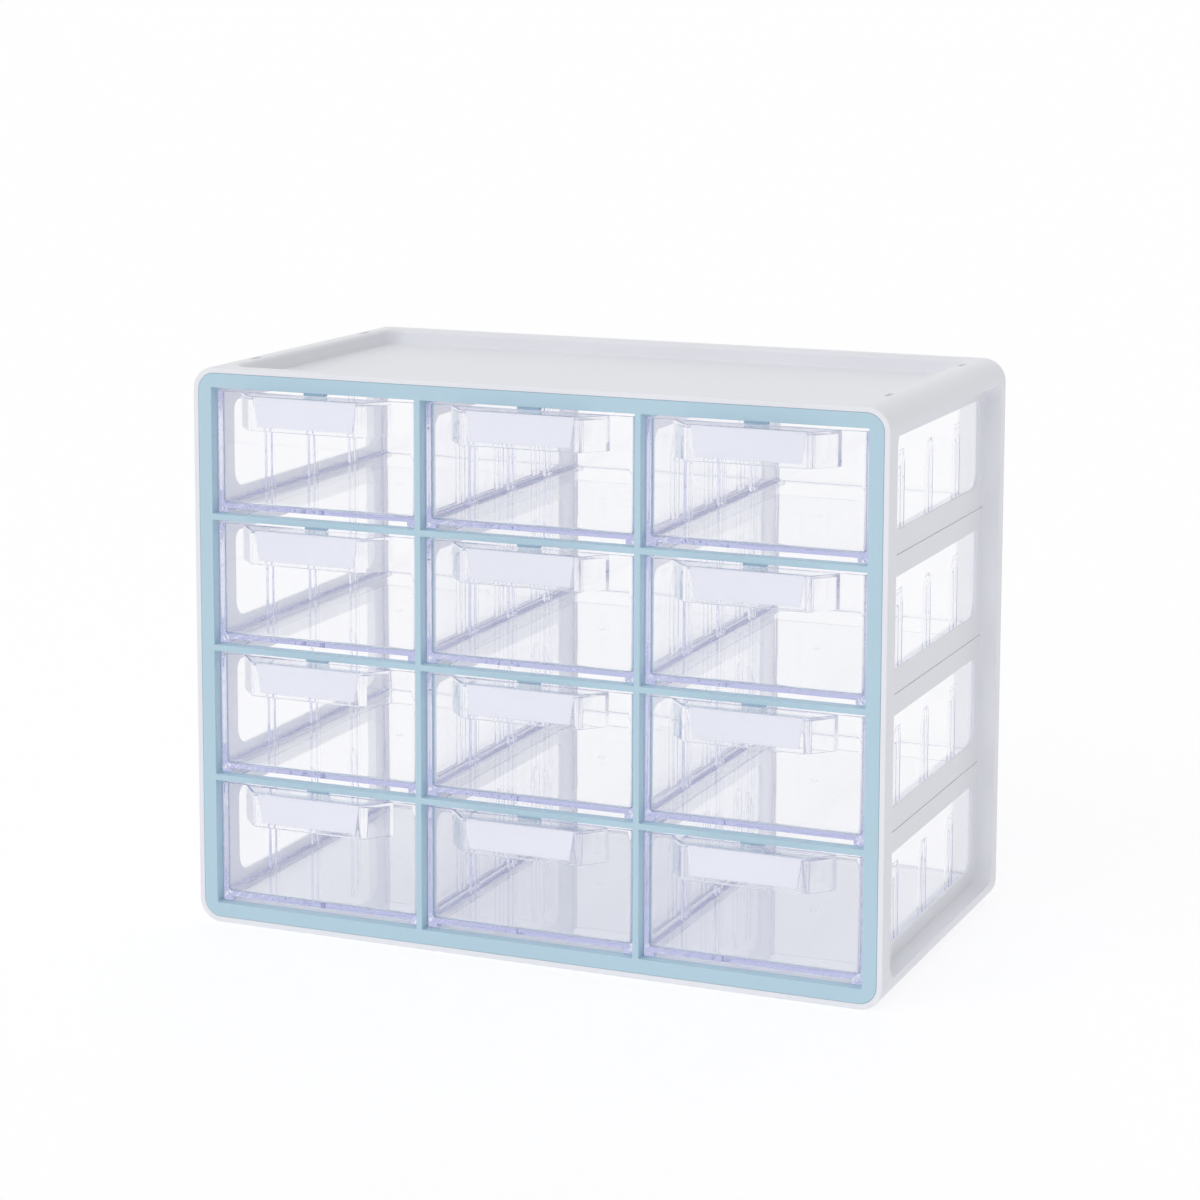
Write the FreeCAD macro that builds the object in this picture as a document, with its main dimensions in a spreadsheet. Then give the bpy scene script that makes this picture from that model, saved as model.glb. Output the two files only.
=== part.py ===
"""Desktop cabinet with twelve clear drawers: a parametric document, in millimetres.

The cabinet stands on Z = 0 with its drawers facing -Y. The origin is the middle of the
footprint, drawer handles included. Every size that can be set by itself is a cell of the
sheet, and every other size is an expression of those cells.
"""
import FreeCAD, Part
import math
import os

import Sketcher
from FreeCAD import Vector

COLUMNS = 3
ROWS = 4
TOLERANCE = 1e-4

# One line per driving size: alias, value, what it measures.
DRIVING_SIZES = (
    ("opening_width", 113.6, "clear width of one drawer opening"),
    ("opening_height", 64.4, "clear height of one drawer opening"),
    ("mullion_width", 3.2, "upright bar between two openings"),
    ("bar_height", 3.2, "level bar between two openings"),
    ("bezel_border", 7.4, "from the outer openings to the edge of the front frame"),
    ("bezel_depth", 6.4, "thickness of the front frame"),
    ("bezel_radius", 9.0, "outer corner of the front frame"),
    ("bezel_bevel", 0.7, "bevel of the front frame's front edge"),
    ("bezel_fit", 0.15, "gap between the front frame and the rim round it"),
    ("rim_wall", 3.0, "rim of the shell round the front frame"),
    ("shell_depth", 196.0, "front to back of the shell"),
    ("shell_radius", 12.0, "outer corner of the shell"),
    ("shell_bevel", 0.7, "bevel of the shell's front edge"),
    ("panel_wall", 1.7, "side panels"),
    ("deck_wall", 2.2, "top and bottom panels"),
    ("recess_front", 12.0, "front end of the side recess"),
    ("recess_back", 8.0, "back end of the side recess, from the back"),
    ("recess_margin", 12.0, "top and bottom of the side recess, from the outside"),
    ("recess_radius", 8.0, "corner of the side recess"),
    ("window_front", 22.4, "front end of a side window"),
    ("window_back", 18.0, "back end of a side window, from the back"),
    ("window_height", 44.9, "height of a side window"),
    ("window_lift", 0.5, "side window above the middle of its row"),
    ("window_low_radius", 9.0, "lower corners of a side window"),
    ("window_high_radius", 5.0, "upper corners of a side window"),
    ("seam_width", 0.8, "groove between two side windows"),
    ("seam_depth", 0.6, "depth of that groove"),
    ("seam_end", 2.4, "from that groove to the back end of the side recess"),
    ("tray_side", 18.0, "from the outside to the top recess, at the sides"),
    ("tray_front", 9.0, "front end of the top recess"),
    ("tray_back", 8.0, "back end of the top recess, from the back"),
    ("tray_radius", 10.0, "corner of the top recess"),
    ("tray_round", 2.5, "rounding of the top recess's edge"),
    ("dimple_length", 11.0, "stacking dimple, along the depth"),
    ("dimple_width", 3.0, "stacking dimple, across"),
    ("dimple_radius", 1.4, "ends of a stacking dimple"),
    ("dimple_depth", 0.8, "stacking dimple"),
    ("dimple_side", 13.8, "stacking dimple from the outside"),
    ("dimple_front", 41.0, "first stacking dimple from the front"),
    ("dimple_spacing", 122.0, "between two stacking dimples"),
    ("ledge_thickness", 1.6, "ledge that a drawer runs on"),
    ("ledge_overlap", 2.4, "drawer runner resting on its ledge"),
    ("ledge_front", 9.0, "front end of a ledge"),
    ("ledge_back", 10.0, "back end of a ledge, from the back"),
    ("groove_depth", 0.8, "grooves that hold the dividers"),
    ("groove_fit", 0.1, "gap between a divider and its groove"),
    ("ring_depth", 5.6, "hollow round the back edge"),
    ("ring_wall", 2.4, "walls each side of that hollow"),
    ("tongue_width", 3.0, "locating tongue of the front frame, across"),
    ("tongue_height", 9.0, "locating tongue of the front frame, upright"),
    ("tongue_length", 4.0, "locating tongue of the front frame, front to back"),
    ("tongue_fit", 0.1, "gap round a locating tongue"),
    ("tab_width", 12.0, "drawer stop on the front frame"),
    ("tab_drop", 1.9, "drawer stop below its bar"),
    ("tab_depth", 3.2, "drawer stop, front to back"),
    ("divider_thickness", 2.4, "divider between two columns"),
    ("divider_back", 2.0, "divider from the back of the shell"),
    ("divider_post", 2.4, "divider in front of its windows"),
    ("divider_rear_post", 20.0, "divider behind its windows"),
    ("divider_rail", 4.7, "divider's rail above the ledge"),
    ("divider_beam", 10.0, "divider above its windows"),
    ("divider_radius", 6.0, "corner of a divider's window"),
    ("drawer_setback", 4.8, "drawer front behind the front frame's face"),
    ("drawer_back_gap", 6.2, "drawer from the back of the shell"),
    ("drawer_side_gap", 0.8, "drawer to the side of its opening"),
    ("drawer_top_gap", 2.2, "drawer to the top of its opening"),
    ("running_gap", 0.3, "drawer above its ledge"),
    ("drawer_wall", 1.8, "drawer walls"),
    ("drawer_floor", 2.0, "drawer floor"),
    ("drawer_radius", 3.0, "upright corners of a drawer"),
    ("runner_height", 2.2, "runner under the drawer floor"),
    ("runner_width", 5.6, "runner under the drawer floor"),
    ("nib_width", 14.0, "nib on the drawer's back wall that meets the stop"),
    ("nib_gap", 0.4, "nib to the top of the opening"),
    ("rib_width", 3.4, "one of the pair of ribs that hold a partition"),
    ("rib_slot", 2.6, "slot between the two ribs"),
    ("rib_proud", 1.45, "ribs from the wall"),
    ("rib_pitch", 46.6, "from one pair of ribs to the next"),
    ("rib_middle", 97.1, "middle pair of ribs from the drawer's front"),
    ("rib_drop", 15.0, "top of the ribs below the drawer's rim"),
    ("rib_slope", 9.0, "height of the ribs' sloping tops"),
    ("handle_base", 84.0, "handle at the drawer's front"),
    ("handle_nose", 61.6, "handle at its front plate"),
    ("handle_reach", 8.0, "handle in front of the front frame's face"),
    ("handle_height", 17.3, "height of the handle"),
    ("handle_side", 2.0, "handle's slanted walls, measured across"),
    ("handle_top", 1.8, "handle's top wall"),
    ("handle_radius", 3.0, "handle's front corners"),
    ("plate_skin", 1.2, "front plate each side of the label slot"),
    ("slot_gap", 0.8, "thickness of the label slot"),
    ("slot_top", 58.2, "label slot at its open top"),
    ("slot_bottom", 53.8, "label slot at its bottom"),
    ("slot_height", 15.4, "height of the label slot"),
    ("card_thickness", 0.4, "label card"),
    ("card_fit", 0.4, "label card to the slot's ends"),
    ("card_gap", 0.3, "label card to the slot's bottom and top"),
)

# Sizes that follow from the cells. Depths count from the face of the front frame.
CAVITY_WIDTH = f"({COLUMNS} * Sizes.opening_width + {COLUMNS - 1} * Sizes.mullion_width)"
CAVITY_HEIGHT = f"({ROWS} * Sizes.opening_height + {ROWS - 1} * Sizes.bar_height)"
FRAME_WIDTH = f"({CAVITY_WIDTH} + 2 * Sizes.bezel_border)"
FRAME_HEIGHT = f"({CAVITY_HEIGHT} + 2 * Sizes.bezel_border)"
SHELL_WIDTH = f"({FRAME_WIDTH} + 2 * Sizes.rim_wall)"
SHELL_HEIGHT = f"({FRAME_HEIGHT} + 2 * Sizes.rim_wall)"
SHELL_BACK = "Sizes.shell_depth"
FACE_PLACE = "(-(Sizes.shell_depth - Sizes.handle_reach) / 2)"
COLUMN_PITCH = "(Sizes.opening_width + Sizes.mullion_width)"
ROW_PITCH = "(Sizes.opening_height + Sizes.bar_height)"
FIRST_COLUMN = f"(-{(COLUMNS - 1) / 2} * {COLUMN_PITCH})"
FIRST_ROW = f"(-{(ROWS - 1) / 2} * {ROW_PITCH})"
OPENING_FLOOR = f"({FIRST_ROW} - Sizes.opening_height / 2)"
LEDGE_REACH = "(Sizes.drawer_side_gap + Sizes.ledge_overlap)"
LEDGE_LENGTH = "(Sizes.shell_depth - Sizes.ledge_front - Sizes.ledge_back)"
DRAWER_WIDTH = "(Sizes.opening_width - 2 * Sizes.drawer_side_gap)"
DRAWER_HEIGHT = "(Sizes.opening_height - Sizes.running_gap - Sizes.drawer_top_gap)"
DRAWER_LENGTH = "(Sizes.shell_depth - Sizes.drawer_setback - Sizes.drawer_back_gap)"
DRAWER_FLOOR_TOP = "(Sizes.runner_height + Sizes.drawer_floor)"
HANDLE_DEPTH = "(Sizes.handle_reach + Sizes.drawer_setback)"
PLATE_THICKNESS = "(2 * Sizes.plate_skin + Sizes.slot_gap)"


def number(expression):
    """Work out an expression of the sheet's cells, in millimetres."""
    return float(sizes.evalExpression(expression))


def make_sheet(doc):
    """Write the driving sizes into a spreadsheet, with a note beside each."""
    sheet = doc.addObject("Spreadsheet::Sheet", "Sizes")
    for row, (alias, value, note) in enumerate(DRIVING_SIZES, start=1):
        sheet.set(f"A{row}", note)
        sheet.set(f"B{row}", str(value))
        sheet.setAlias(f"B{row}", alias)
    return sheet


def origin_item(body, role):
    """Find one of a body's own origin planes or axes by its role."""
    return next(item for item in body.Origin.OriginFeatures if item.Role == role)


def make_body(doc, label, x="0", y="0", z="0"):
    """Start a body with its place bound to three expressions."""
    body = doc.addObject("PartDesign::Body", label)
    body.Label = label
    for axis, expression in zip("xyz", (x, y, z)):
        body.setExpression(f"Placement.Base.{axis}", expression)
    return body


def make_sketch(body, role, across="0", up="0", out="0"):
    """Add a sketch to an origin plane, with its own zero moved by three expressions."""
    sketch = body.newObject("Sketcher::SketchObject", "Sketch")
    sketch.AttachmentSupport = [(origin_item(body, role), "")]
    sketch.MapMode = "FlatFace"
    for axis, expression in zip("xyz", (across, up, out)):
        sketch.setExpression(f"AttachmentOffset.Base.{axis}", expression)
    return sketch


def name_constraint(sketch, index, name, expression):
    """Name one dimension of a sketch and bind it to an expression."""
    sketch.renameConstraint(index, name)
    sketch.setExpression(f"Constraints.{name}", expression)


def draw_rounded_rectangle(sketch, width, height, radii, prefix="outline"):
    """Draw a rectangle about the sketch's zero, with one radius above and one below."""
    low, high = radii
    half_width = number(width) / 2
    half_height = number(height) / 2
    corners = ((1, 1, high), (-1, 1, high), (-1, -1, low), (1, -1, low))
    first = sketch.GeometryCount
    arcs = []
    for turn, (side, level, radius) in enumerate(corners):
        size = number(radius)
        centre = Vector(side * (half_width - size), level * (half_height - size), 0)
        circle = Part.Circle(centre, Vector(0, 0, 1), size)
        start = turn * math.pi / 2
        arcs.append(Part.ArcOfCircle(circle, start, start + math.pi / 2))
    lines = [Part.LineSegment(arcs[i].EndPoint, arcs[(i + 1) % 4].StartPoint) for i in range(4)]
    sketch.addGeometry(arcs + lines, False)
    arc = [first + i for i in range(4)]
    line = [first + 4 + i for i in range(4)]
    for i in range(4):
        sketch.addConstraint(Sketcher.Constraint("Tangent", arc[i], 2, line[i], 1))
        sketch.addConstraint(Sketcher.Constraint("Tangent", line[i], 2, arc[(i + 1) % 4], 1))
        sketch.addConstraint(Sketcher.Constraint(("Horizontal", "Vertical")[i % 2], line[i]))
    sketch.addConstraint(Sketcher.Constraint("Equal", arc[0], arc[1]))
    sketch.addConstraint(Sketcher.Constraint("Equal", arc[2], arc[3]))
    dimensions = (
        ("high_radius", Sketcher.Constraint("Radius", arc[0], number(high)), high),
        ("low_radius", Sketcher.Constraint("Radius", arc[2], number(low)), low),
        ("right", Sketcher.Constraint("DistanceX", -1, 1, line[3], 1, half_width), f"{width} / 2"),
        ("left", Sketcher.Constraint("DistanceX", line[1], 1, -1, 1, half_width), f"{width} / 2"),
        ("top", Sketcher.Constraint("DistanceY", -1, 1, line[0], 1, half_height), f"{height} / 2"),
        ("low", Sketcher.Constraint("DistanceY", line[2], 1, -1, 1, half_height), f"{height} / 2"),
    )
    for name, constraint, expression in dimensions:
        name_constraint(sketch, sketch.addConstraint(constraint), f"{prefix}_{name}", expression)


def draw_outline(sketch, points):
    """Draw a straight-sided outline, each corner dimensioned from the sketch's zero."""
    places = [Vector(number(x), number(y), 0) for x, y in points]
    count = len(places)
    sides = [Part.LineSegment(places[i], places[(i + 1) % count]) for i in range(count)]
    sketch.addGeometry(sides, False)
    for i in range(count):
        sketch.addConstraint(Sketcher.Constraint("Coincident", i, 2, (i + 1) % count, 1))
    for i, (x, y) in enumerate(points):
        across = Sketcher.Constraint("DistanceX", -1, 1, i, 1, places[i].x)
        name_constraint(sketch, sketch.addConstraint(across), f"across_{i}", x)
        up = Sketcher.Constraint("DistanceY", -1, 1, i, 1, places[i].y)
        name_constraint(sketch, sketch.addConstraint(up), f"up_{i}", y)


def draw_rectangle(sketch, width, height):
    """Draw a sharp-cornered rectangle about the sketch's zero."""
    right = f"{width} / 2"
    top = f"{height} / 2"
    left = f"-{right}"
    low = f"-{top}"
    draw_outline(sketch, ((left, low), (right, low), (right, top), (left, top)))


def extrude(body, kind, sketch, length, backward=False):
    """Pad or pocket a sketch by an expression, or through everything when it is None."""
    feature = body.newObject(f"PartDesign::{kind}", kind)
    feature.Profile = sketch
    if length is None:
        feature.Type = "ThroughAll"
    else:
        feature.setExpression("Length", length)
    feature.Reversed = backward
    sketch.Visibility = False
    return feature


def row_of(body, role, pitch, count):
    """Make one linear step of a pattern along a body axis."""
    pattern = body.newObject("PartDesign::LinearPattern", "Step")
    pattern.Direction = (origin_item(body, role), [""])
    pattern.Mode = "Spacing"
    pattern.setExpression("Offset", pitch)
    pattern.Occurrences = count
    return pattern


def mirror_of(body, role):
    """Make a mirror step across one of a body's origin planes."""
    mirror = body.newObject("PartDesign::Mirrored", "Mirror")
    mirror.MirrorPlane = (origin_item(body, role), [""])
    return mirror


def repeat(body, feature, steps):
    """Repeat a feature by one or more steps and make the result the body's tip."""
    pattern = body.newObject("PartDesign::MultiTransform", "Pattern")
    pattern.Originals = [feature]
    pattern.Transformations = steps
    body.Tip = pattern
    return pattern


def ease_edges(body, kind, base, size, chosen):
    """Fillet or chamfer those edges of a feature for which chosen(edge) holds."""
    body.Document.recompute()
    names = [f"Edge{i}" for i, edge in enumerate(base.Shape.Edges, start=1) if chosen(edge)]
    eased = body.newObject(f"PartDesign::{kind}", kind)
    eased.Base = (base, names)
    eased.setExpression({"Fillet": "Radius", "Chamfer": "Size"}[kind], size)
    return eased


def lies_at(edge, axis, place):
    """Tell whether an edge lies wholly at one place along the X, Y or Z axis."""
    box = edge.BoundBox
    low, high = {
        "X": (box.XMin, box.XMax),
        "Y": (box.YMin, box.YMax),
        "Z": (box.ZMin, box.ZMax),
    }[axis]
    return abs(low - place) < TOLERANCE and abs(high - place) < TOLERANCE


def inside(edge, half_width, half_height):
    """Tell whether an edge stays within a half width along X and a half height along Z."""
    box = edge.BoundBox
    across = max(-box.XMin, box.XMax) < half_width + TOLERANCE
    return across and max(-box.ZMin, box.ZMax) < half_height + TOLERANCE


def middle(front, back):
    """Middle of a stretch from a depth to a distance from the shell's back."""
    return f"({front} + {SHELL_BACK} - {back}) / 2"


def stretch(front, back):
    """Length of a stretch from a depth to a distance from the shell's back."""
    return f"({SHELL_BACK} - {front} - {back})"


def make_shell(doc):
    """Mould the white shell: a tube with a tray above and below and windowed sides."""
    body = make_body(doc, "cabinet_shell", "0", FACE_PLACE, f"{SHELL_HEIGHT} / 2")
    outside = make_sketch(body, "XZ_Plane")
    corners = ("Sizes.shell_radius", "Sizes.shell_radius")
    draw_rounded_rectangle(outside, SHELL_WIDTH, SHELL_HEIGHT, corners)
    tube = extrude(body, "Pad", outside, "Sizes.shell_depth", backward=True)

    ease_edges(body, "Chamfer", tube, "Sizes.shell_bevel", lambda edge: lies_at(edge, "Y", 0))
    cavity = make_sketch(body, "XZ_Plane")
    draw_rectangle(cavity, CAVITY_WIDTH, CAVITY_HEIGHT)
    extrude(body, "Pocket", cavity, None)
    rebate = make_sketch(body, "XZ_Plane")
    corners = ("Sizes.bezel_radius", "Sizes.bezel_radius")
    draw_rounded_rectangle(rebate, FRAME_WIDTH, FRAME_HEIGHT, corners)
    extrude(body, "Pocket", rebate, "Sizes.bezel_depth")

    cut_trays(body)
    cut_sides(body)
    add_ledges(body)
    cut_back(body)
    return body


def cut_trays(body):
    """Sink the tray into the top, its twin into the base, and round the tray's edge."""
    tray = make_sketch(
        body, "XY_Plane", "0", middle("Sizes.tray_front", "Sizes.tray_back"), f"{SHELL_HEIGHT} / 2"
    )
    corners = ("Sizes.tray_radius", "Sizes.tray_radius")
    tray_length = stretch("Sizes.tray_front", "Sizes.tray_back")
    draw_rounded_rectangle(tray, f"({SHELL_WIDTH} - 2 * Sizes.tray_side)", tray_length, corners)
    sink = extrude(
        body, "Pocket", tray, "(Sizes.rim_wall + Sizes.bezel_border - Sizes.deck_wall)"
    )
    twin = repeat(body, sink, [mirror_of(body, "XY_Plane")])

    top = number(SHELL_HEIGHT) / 2
    half_width = number(SHELL_WIDTH) / 2 - number("Sizes.tray_side")
    front = number("Sizes.tray_front")
    back = number(f"{SHELL_BACK} - Sizes.tray_back")
    ease_edges(
        body,
        "Fillet",
        twin,
        "Sizes.tray_round",
        lambda edge: lies_at(edge, "Z", top)
        and inside(edge, half_width, top)
        and front - TOLERANCE < edge.BoundBox.YMin
        and edge.BoundBox.YMax < back + TOLERANCE,
    )

    dimple = make_sketch(
        body,
        "XY_Plane",
        f"{SHELL_WIDTH} / 2 - Sizes.dimple_side",
        "Sizes.dimple_front",
        f"{SHELL_HEIGHT} / 2",
    )
    ends = ("Sizes.dimple_radius", "Sizes.dimple_radius")
    draw_rounded_rectangle(dimple, "Sizes.dimple_width", "Sizes.dimple_length", ends)
    first = extrude(body, "Pocket", dimple, "Sizes.dimple_depth")
    along = row_of(body, "Y_Axis", "Sizes.dimple_spacing", 2)
    repeat(body, first, [along, mirror_of(body, "YZ_Plane")])


def cut_sides(body):
    """Recess both sides, open a window to each drawer and groove the bars between them."""
    side = f"{SHELL_WIDTH} / 2"
    recess_middle = middle("Sizes.recess_front", "Sizes.recess_back")
    recess_length = stretch("Sizes.recess_front", "Sizes.recess_back")
    recess = make_sketch(body, "YZ_Plane", recess_middle, "0", side)
    corners = ("Sizes.recess_radius", "Sizes.recess_radius")
    recess_height = f"({SHELL_HEIGHT} - 2 * Sizes.recess_margin)"
    draw_rounded_rectangle(recess, recess_length, recess_height, corners)
    recess_depth = "(Sizes.rim_wall + Sizes.bezel_border - Sizes.panel_wall)"
    sunk = extrude(body, "Pocket", recess, recess_depth)
    repeat(body, sunk, [mirror_of(body, "YZ_Plane")])

    window = make_sketch(
        body,
        "YZ_Plane",
        middle("Sizes.window_front", "Sizes.window_back"),
        f"{FIRST_ROW} + Sizes.window_lift",
        side,
    )
    draw_rounded_rectangle(
        window,
        stretch("Sizes.window_front", "Sizes.window_back"),
        "Sizes.window_height",
        ("Sizes.window_low_radius", "Sizes.window_high_radius"),
    )
    opened = extrude(body, "Pocket", window, None)
    repeat(body, opened, [row_of(body, "Z_Axis", ROW_PITCH, ROWS)])

    seam_back = "(Sizes.recess_back + Sizes.seam_end)"
    seam = make_sketch(
        body,
        "YZ_Plane",
        middle("Sizes.recess_front", seam_back),
        f"{FIRST_ROW} + {ROW_PITCH} / 2",
        f"{side} - {recess_depth}",
    )
    draw_rectangle(seam, stretch("Sizes.recess_front", seam_back), "Sizes.seam_width")
    grooved = extrude(body, "Pocket", seam, "Sizes.seam_depth")
    upward = row_of(body, "Z_Axis", ROW_PITCH, ROWS - 1)
    repeat(body, grooved, [upward, mirror_of(body, "YZ_Plane")])


def add_ledges(body):
    """Run a ledge for each raised row along both sides, and groove the decks for dividers."""
    ledge = make_sketch(
        body,
        "XZ_Plane",
        f"({CAVITY_WIDTH} - {LEDGE_REACH}) / 2",
        f"{OPENING_FLOOR} + {ROW_PITCH} - Sizes.ledge_thickness / 2",
        "-Sizes.ledge_front",
    )
    draw_rectangle(ledge, LEDGE_REACH, "Sizes.ledge_thickness")
    shelf = extrude(body, "Pad", ledge, LEDGE_LENGTH, backward=True)
    upward = row_of(body, "Z_Axis", ROW_PITCH, ROWS - 1)
    repeat(body, shelf, [upward, mirror_of(body, "YZ_Plane")])

    groove = make_sketch(
        body, "XZ_Plane", f"{FIRST_COLUMN} + {COLUMN_PITCH} / 2", "0", "-Sizes.bezel_depth"
    )
    draw_rectangle(
        groove,
        "(Sizes.divider_thickness + 2 * Sizes.groove_fit)",
        f"({CAVITY_HEIGHT} + 2 * Sizes.groove_depth)",
    )
    slotted = extrude(body, "Pocket", groove, None)
    repeat(body, slotted, [row_of(body, "X_Axis", COLUMN_PITCH, COLUMNS - 1)])


def cut_back(body):
    """Hollow the thick edge round the open back, and sink the sockets for the tongues."""
    ring = make_sketch(body, "XZ_Plane", "0", "0", f"-{SHELL_BACK}")
    outer_radius = "(Sizes.shell_radius - Sizes.ring_wall)"
    draw_rounded_rectangle(
        ring,
        f"({SHELL_WIDTH} - 2 * Sizes.ring_wall)",
        f"({SHELL_HEIGHT} - 2 * Sizes.ring_wall)",
        (outer_radius, outer_radius),
    )
    draw_rounded_rectangle(
        ring,
        f"({CAVITY_WIDTH} + 2 * Sizes.ring_wall)",
        f"({CAVITY_HEIGHT} + 2 * Sizes.ring_wall)",
        ("Sizes.ring_wall", "Sizes.ring_wall"),
        prefix="inner",
    )
    extrude(body, "Pocket", ring, "Sizes.ring_depth", backward=True)

    socket = make_sketch(
        body,
        "XZ_Plane",
        f"({CAVITY_WIDTH} + Sizes.bezel_border) / 2",
        FIRST_ROW,
        "-Sizes.bezel_depth",
    )
    draw_rectangle(
        socket,
        "(Sizes.tongue_width + 2 * Sizes.tongue_fit)",
        "(Sizes.tongue_height + 2 * Sizes.tongue_fit)",
    )
    sunk = extrude(body, "Pocket", socket, "(Sizes.tongue_length + Sizes.tongue_fit)")
    upward = row_of(body, "Z_Axis", ROW_PITCH, ROWS)
    repeat(body, sunk, [upward, mirror_of(body, "YZ_Plane")])


def make_bezel(doc):
    """Mould the blue front frame: a grid of openings, each with a stop tab at its top."""
    body = make_body(doc, "front_bezel", "0", FACE_PLACE, f"{SHELL_HEIGHT} / 2")
    outside = make_sketch(body, "XZ_Plane")
    radius = "(Sizes.bezel_radius - Sizes.bezel_fit)"
    draw_rounded_rectangle(
        outside,
        f"({FRAME_WIDTH} - 2 * Sizes.bezel_fit)",
        f"({FRAME_HEIGHT} - 2 * Sizes.bezel_fit)",
        (radius, radius),
    )
    plate = extrude(body, "Pad", outside, "Sizes.bezel_depth", backward=True)
    ease_edges(body, "Chamfer", plate, "Sizes.bezel_bevel", lambda edge: lies_at(edge, "Y", 0))

    opening = make_sketch(body, "XZ_Plane", FIRST_COLUMN, FIRST_ROW)
    draw_rectangle(opening, "Sizes.opening_width", "Sizes.opening_height")
    opened = extrude(body, "Pocket", opening, None)
    across = row_of(body, "X_Axis", COLUMN_PITCH, COLUMNS)
    repeat(body, opened, [across, row_of(body, "Z_Axis", ROW_PITCH, ROWS)])

    root = "(Sizes.bar_height / 2)"
    tab = make_sketch(
        body,
        "XZ_Plane",
        FIRST_COLUMN,
        f"{OPENING_FLOOR} + Sizes.opening_height + ({root} - Sizes.tab_drop) / 2",
        "-(Sizes.bezel_depth - Sizes.tab_depth)",
    )
    draw_rectangle(tab, "Sizes.tab_width", f"(Sizes.tab_drop + {root})")
    stop = extrude(body, "Pad", tab, "Sizes.tab_depth", backward=True)
    across = row_of(body, "X_Axis", COLUMN_PITCH, COLUMNS)
    repeat(body, stop, [across, row_of(body, "Z_Axis", ROW_PITCH, ROWS)])

    tongue = make_sketch(
        body,
        "XZ_Plane",
        f"({CAVITY_WIDTH} + Sizes.bezel_border) / 2",
        FIRST_ROW,
        "-Sizes.bezel_depth",
    )
    draw_rectangle(tongue, "Sizes.tongue_width", "Sizes.tongue_height")
    post = extrude(body, "Pad", tongue, "Sizes.tongue_length", backward=True)
    upward = row_of(body, "Z_Axis", ROW_PITCH, ROWS)
    repeat(body, post, [upward, mirror_of(body, "YZ_Plane")])
    return body


def make_divider(doc, label, gap):
    """Mould one windowed divider, standing in the deck grooves behind a mullion."""
    place = f"{FIRST_COLUMN} + {gap + 0.5} * {COLUMN_PITCH}"
    body = make_body(doc, label, place, FACE_PLACE, f"{SHELL_HEIGHT} / 2")
    front = "(Sizes.bezel_depth + Sizes.groove_fit)"
    half = "Sizes.divider_thickness / 2"
    outside = make_sketch(body, "YZ_Plane", middle(front, "Sizes.divider_back"), "0", f"-{half}")
    height = f"({CAVITY_HEIGHT} + 2 * Sizes.groove_depth - 2 * Sizes.groove_fit)"
    draw_rectangle(outside, stretch(front, "Sizes.divider_back"), height)
    extrude(body, "Pad", outside, "Sizes.divider_thickness")

    window_front = f"({front} + Sizes.divider_post)"
    window_back = "(Sizes.divider_back + Sizes.divider_rear_post)"
    window_height = "(Sizes.opening_height - Sizes.divider_rail - Sizes.divider_beam)"
    window = make_sketch(
        body,
        "YZ_Plane",
        middle(window_front, window_back),
        f"{OPENING_FLOOR} + Sizes.divider_rail + {window_height} / 2",
        half,
    )
    corners = ("Sizes.divider_radius", "Sizes.divider_radius")
    draw_rounded_rectangle(window, stretch(window_front, window_back), window_height, corners)
    opened = extrude(body, "Pocket", window, None)
    repeat(body, opened, [row_of(body, "Z_Axis", ROW_PITCH, ROWS)])

    ledge = make_sketch(
        body,
        "XZ_Plane",
        "0",
        f"{OPENING_FLOOR} + {ROW_PITCH} - Sizes.ledge_thickness / 2",
        "-Sizes.ledge_front",
    )
    draw_rectangle(
        ledge, f"(Sizes.mullion_width + 2 * {LEDGE_REACH})", "Sizes.ledge_thickness"
    )
    shelf = extrude(body, "Pad", ledge, LEDGE_LENGTH, backward=True)
    repeat(body, shelf, [row_of(body, "Z_Axis", ROW_PITCH, ROWS - 1)])
    return body


def drawer_place(column, row):
    """Place of a drawer's own zero: the middle of its front face, at its runners."""
    return (
        f"{FIRST_COLUMN} + {column} * {COLUMN_PITCH}",
        f"{FACE_PLACE} + Sizes.drawer_setback",
        f"{SHELL_HEIGHT} / 2 + {OPENING_FLOOR} + {ROWS - 1 - row} * {ROW_PITCH} + Sizes.running_gap",
    )


def make_drawer(doc, label, column, row):
    """Mould one clear drawer: tub, runners, partition ribs, stop nib and hooded handle."""
    body = make_body(doc, label, *drawer_place(column, row))
    make_tub(body)
    add_ribs(body)
    add_nib(body)
    add_handle(body)
    return body


def make_tub(body):
    """Form the drawer's walls and floor, with a runner under each side."""
    outside = make_sketch(body, "XY_Plane", "0", f"{DRAWER_LENGTH} / 2")
    corners = ("Sizes.drawer_radius", "Sizes.drawer_radius")
    draw_rounded_rectangle(outside, DRAWER_WIDTH, DRAWER_LENGTH, corners)
    extrude(body, "Pad", outside, DRAWER_HEIGHT)

    hollow = make_sketch(body, "XY_Plane", "0", f"{DRAWER_LENGTH} / 2", DRAWER_HEIGHT)
    draw_rectangle(
        hollow,
        f"({DRAWER_WIDTH} - 2 * Sizes.drawer_wall)",
        f"({DRAWER_LENGTH} - 2 * Sizes.drawer_wall)",
    )
    extrude(body, "Pocket", hollow, f"({DRAWER_HEIGHT} - {DRAWER_FLOOR_TOP})")

    channel = make_sketch(body, "XZ_Plane", "0", "Sizes.runner_height / 2")
    width = f"({DRAWER_WIDTH} - 2 * Sizes.runner_width)"
    draw_rectangle(channel, width, "Sizes.runner_height")
    extrude(body, "Pocket", channel, None)


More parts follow.
